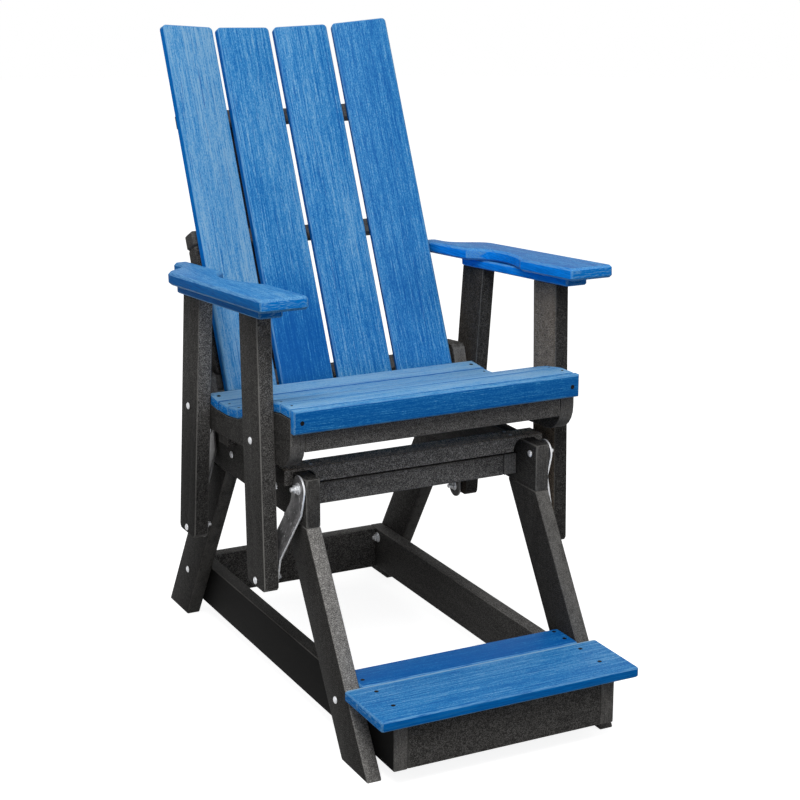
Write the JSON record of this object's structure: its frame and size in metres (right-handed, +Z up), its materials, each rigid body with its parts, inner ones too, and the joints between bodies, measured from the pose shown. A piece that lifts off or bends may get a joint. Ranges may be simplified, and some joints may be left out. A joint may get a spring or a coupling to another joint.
{
  "type": "glider chair",
  "caption": "High-backed glider armchair of blue and black boards: a slatted seat hangs on steel links inside a raked stand with an attached footrest.",
  "frame": {"origin": "on the ground, under the middle of the chair's overall length and width", "axes": "+Z up, -Y towards the front of the chair, +X to the right as seen from the front"},
  "size_m": [0.784, 1.1674, 1.3697],
  "materials": {
    "blue_board": "wood-grain embossed",
    "black_board": "pebbled",
    "zinc_steel": "zinc plated"
  },
  "bodies": {
    "stand": {"footrest_cross_rail": "black_board", "footrest_front_board": "blue_board", "footrest_rear_board": "blue_board", "front_stop_board": "black_board", "front_tie_rail": "black_board", "left_base_rail": "black_board", "left_front_cleat": "black_board", "left_front_leg": "black_board", "left_front_top_pivot_bolt": "zinc_steel", "left_rear_leg": "black_board", "left_rear_top_pivot_bolt": "zinc_steel", "left_top_rail": "black_board", "rear_cross_rail": "black_board", "rear_stop_board": "black_board", "right_base_rail": "black_board", "right_front_cleat": "black_board", "right_front_leg": "black_board", "right_front_top_pivot_bolt": "zinc_steel", "right_rear_leg": "black_board", "right_rear_top_pivot_bolt": "zinc_steel", "right_top_rail": "black_board"},
    "front_left_link": {"left_front_link": "zinc_steel"},
    "front_right_link": {"right_front_link": "zinc_steel"},
    "rear_left_link": {"left_rear_link": "zinc_steel"},
    "rear_right_link": {"right_rear_link": "zinc_steel"},
    "seat": {"back_slat_1": "blue_board", "back_slat_2": "blue_board", "back_slat_3": "blue_board", "back_slat_4": "blue_board", "front_seat_rail": "black_board", "left_arm": "blue_board", "left_arm_brace": "blue_board", "left_back_upright": "black_board", "left_front_foot_pivot_bolt": "zinc_steel", "left_front_post": "black_board", "left_rear_foot_pivot_bolt": "zinc_steel", "left_rear_post": "black_board", "left_seat_rail": "black_board", "left_stringer": "black_board", "lower_brace": "black_board", "middle_brace": "black_board", "right_arm": "blue_board", "right_arm_brace": "blue_board", "right_back_upright": "black_board", "right_front_foot_pivot_bolt": "zinc_steel", "right_front_post": "black_board", "right_rear_foot_pivot_bolt": "zinc_steel", "right_rear_post": "black_board", "right_seat_rail": "black_board", "right_stringer": "black_board", "seat_fascia": "blue_board", "seat_rear_board": "blue_board", "seat_slat_1": "blue_board", "seat_slat_2": "blue_board", "seat_slat_3": "blue_board", "seat_slat_4": "blue_board", "seat_slat_5": "blue_board", "seat_slat_6": "blue_board", "seat_slat_7": "blue_board", "top_brace": "black_board"}
  },
  "joints": [
    {"name": "front_left_swing", "type": "hinge", "parent": "stand", "child": "front_left_link", "pos_m": [-0.3015, -0.2114, 0.51], "axis": [1, 0, 0], "range_deg": [-12, 12]},
    {"name": "seat_swing", "type": "hinge", "parent": "front_left_link", "child": "seat", "pos_m": [-0.3015, -0.1477, 0.30675], "axis": [1, 0, 0], "range_deg": [-14.8, 14.8]},
    {"name": "front_right_swing", "type": "hinge", "parent": "stand", "child": "front_right_link", "pos_m": [0.3015, -0.2114, 0.51], "axis": [1, 0, 0], "range_deg": [-12.1, 12.1]},
    {"name": "rear_left_swing", "type": "hinge", "parent": "stand", "child": "rear_left_link", "pos_m": [-0.3015, 0.2725, 0.51], "axis": [1, 0, 0], "range_deg": [-11.5, 11.5]},
    {"name": "rear_right_swing", "type": "hinge", "parent": "stand", "child": "rear_right_link", "pos_m": [0.3015, 0.2725, 0.51], "axis": [1, 0, 0], "range_deg": [-11.5, 11.5]}
  ],
  "couplings": [
    {"joint": "seat_swing", "follows": "front_left_swing", "ratio": -1.2301},
    {"joint": "front_right_swing", "follows": "front_left_swing", "ratio": 1},
    {"joint": "rear_left_swing", "follows": "front_left_swing", "ratio": 0.9536},
    {"joint": "rear_right_swing", "follows": "front_left_swing", "ratio": 0.9536}
  ]
}
